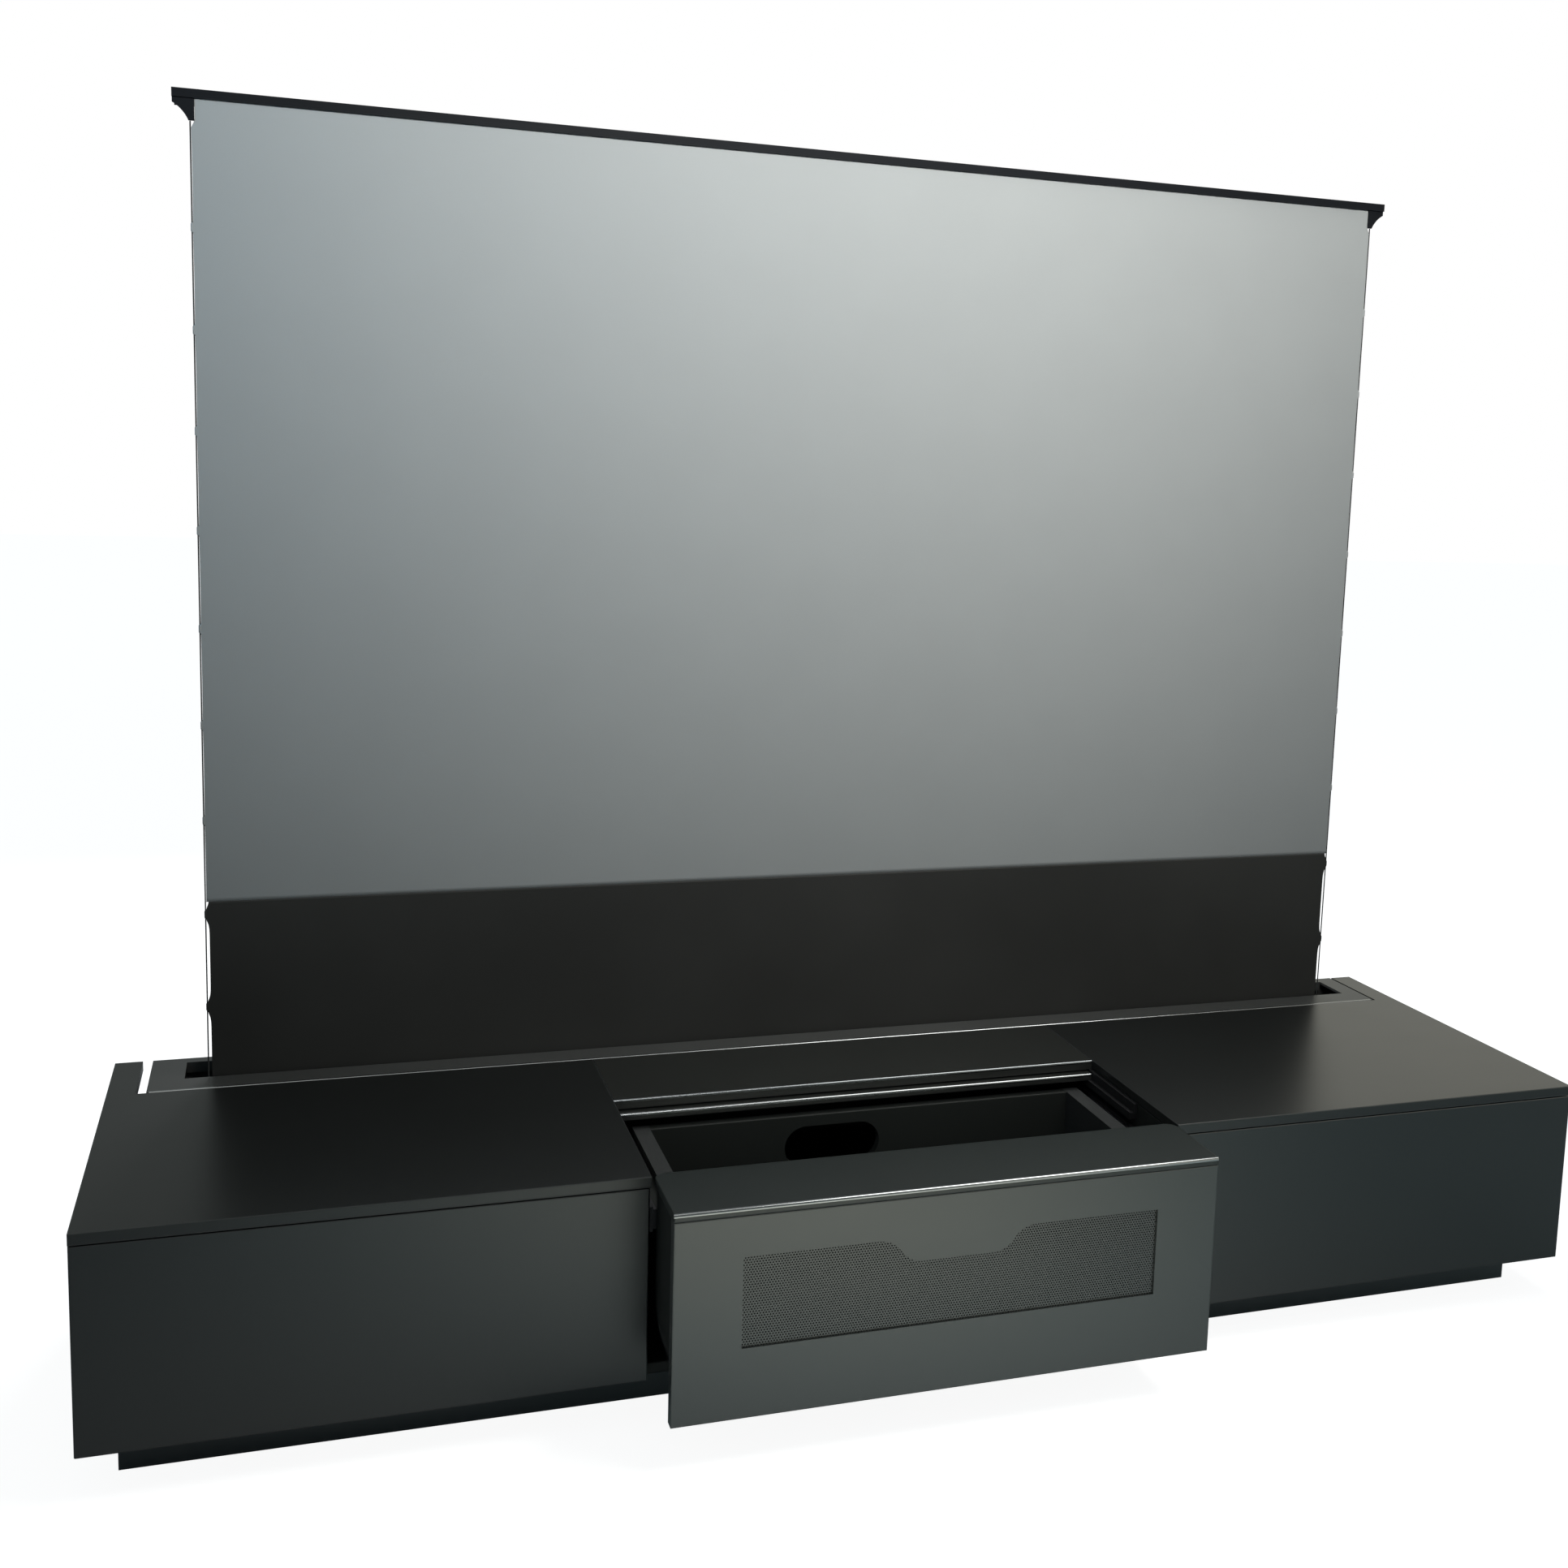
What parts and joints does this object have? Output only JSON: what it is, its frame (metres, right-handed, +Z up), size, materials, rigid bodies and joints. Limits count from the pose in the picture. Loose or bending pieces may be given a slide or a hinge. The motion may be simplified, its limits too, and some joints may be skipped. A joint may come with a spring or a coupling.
{
  "type": "projector screen cabinet",
  "caption": "Low media cabinet with a slide-out projector drawer, side drawers and a projection screen that folding arms raise from its back.",
  "frame": {"origin": "on the floor, under the middle of the bounding box with the projector drawer out", "axes": "+X along the cabinet's width, +Y to its back, +Z up"},
  "size_m": [2.532, 0.871, 2.061],
  "materials": {
    "carcass": "satin black lacquer on board",
    "tops": "gloss black lacquer on board",
    "fronts": "satin grey-black lacquer on board",
    "box_board": "grey melamine",
    "bright_trim": "polished",
    "runner_steel": "zinc plated",
    "moving_runner": "zinc plated",
    "housing_metal": "satin black powder coat",
    "bracket_steel": "black",
    "roller_alu": "mill finish",
    "arm_alu": "black anodised",
    "bar_alu": "black anodised",
    "pin_steel": "ground",
    "motor": "grey",
    "black_plastic": "moulded",
    "screen_cloth": "grey light-rejecting screen cloth",
    "black_cloth": "matte black",
    "cord": "braided cord"
  },
  "bodies": {
    "cabinet": {"plinth_frame": "carcass", "outer_sides": "carcass", "inner_sides": "carcass", "side_bottom_boards": "carcass", "centre_bottom_board": "carcass", "side_back_panels": "carcass", "centre_back_panel": "carcass", "left_top_board": "tops", "right_top_board": "tops", "centre_top_strip": "tops", "strip_edge_trim": "bright_trim", "lid_guides": "runner_steel", "centre_fixed_rails": "runner_steel", "side_fixed_rails": "runner_steel", "housing_case": "housing_metal", "housing_front_strip": "housing_metal", "housing_edge_trim": "bright_trim", "housing_back_strip": "housing_metal", "housing_end_caps": "housing_metal", "roller_brackets": "bracket_steel", "roller_motor": "motor", "control_box": "black_plastic", "power_gland": "black_plastic", "arm_base_brackets": "bracket_steel", "bracket_bolts": "bracket_steel", "screen_fabric": "screen_cloth", "black_drop": "black_cloth", "edge_tabs": "screen_cloth", "tension_cords": "cord"},
    "roller": {"roller_tube": "roller_alu", "roller_drive_crown": "black_plastic", "roller_idler": "black_plastic"},
    "left_lower_arm": {"left_lower_arm": "arm_alu", "left_elbow_pin": "pin_steel"},
    "left_upper_arm": {"left_upper_arm": "arm_alu"},
    "top_bar": {"top_bar": "bar_alu", "bar_gussets": "bar_alu", "bar_pivot_plates": "bracket_steel", "bar_pivot_pins": "pin_steel"},
    "right_lower_arm": {"right_lower_arm": "arm_alu", "right_elbow_pin": "pin_steel"},
    "right_upper_arm": {"right_upper_arm": "arm_alu"},
    "projector_drawer": {"projector_front": "fronts", "projector_grille": "bracket_steel", "projector_cap": "fronts", "cap_edge_trim": "bright_trim", "projector_cheeks": "carcass", "projector_box_sides": "box_board", "projector_box_back": "carcass", "projector_shelf": "carcass", "centre_moving_rails": "moving_runner", "runner_packers": "carcass"},
    "lid": {"sliding_lid": "fronts", "lid_edge_trim": "bright_trim"},
    "left_drawer": {"left_drawer_front": "carcass", "left_drawer_box": "box_board", "left_moving_rails": "moving_runner"},
    "right_drawer": {"right_drawer_front": "carcass", "right_drawer_box": "box_board", "right_moving_rails": "moving_runner"}
  },
  "joints": [
    {"name": "left_arm_base", "type": "hinge", "parent": "cabinet", "child": "left_lower_arm", "pos_m": [-0.954, 0.3745, 0.33195], "axis": [0, 1, 0], "range_deg": [0, 77], "deforming": ["screen_fabric", "black_drop", "edge_tabs", "tension_cords"]},
    {"name": "left_elbow", "type": "hinge", "parent": "left_lower_arm", "child": "left_upper_arm", "pos_m": [-0.77502, 0.3895, 1.17398], "axis": [0, 1, 0], "range_deg": [-154, 0]},
    {"name": "bar_hinge", "type": "hinge", "parent": "left_upper_arm", "child": "top_bar", "pos_m": [-0.954, 0.3895, 2.016], "axis": [0, 1, 0], "range_deg": [0, 77]},
    {"name": "right_arm_base", "type": "hinge", "parent": "cabinet", "child": "right_lower_arm", "pos_m": [0.966, 0.3745, 0.33195], "axis": [0, 1, 0], "range_deg": [-77, 0]},
    {"name": "right_elbow", "type": "hinge", "parent": "right_lower_arm", "child": "right_upper_arm", "pos_m": [0.78702, 0.3895, 1.17398], "axis": [0, 1, 0], "range_deg": [0, 154]},
    {"name": "roller_spin", "type": "hinge", "parent": "cabinet", "child": "roller", "pos_m": [0.006, 0.3102, 0.3], "axis": [-1, 0, 0], "range_deg": [0, 3373]},
    {"name": "projector_slide", "type": "slide", "parent": "cabinet", "child": "projector_drawer", "axis": [0, 1, 0], "range_m": [0, 0.146]},
    {"name": "lid_slide", "type": "slide", "parent": "cabinet", "child": "lid", "axis": [0, -1, 0], "range_m": [0, 0.174]},
    {"name": "left_drawer_slide", "type": "slide", "parent": "cabinet", "child": "left_drawer", "axis": [0, -1, 0], "range_m": [0, 0.375]},
    {"name": "right_drawer_slide", "type": "slide", "parent": "cabinet", "child": "right_drawer", "axis": [0, -1, 0], "range_m": [0, 0.375]}
  ],
  "couplings": [
    {"joint": "left_elbow", "follows": "left_arm_base", "ratio": -2},
    {"joint": "bar_hinge", "follows": "left_arm_base", "ratio": 1},
    {"joint": "right_arm_base", "follows": "left_arm_base", "ratio": -1},
    {"joint": "right_elbow", "follows": "left_arm_base", "ratio": 2},
    {"joint": "roller_spin", "follows": "left_arm_base", "ratio": 43.78}
  ]
}
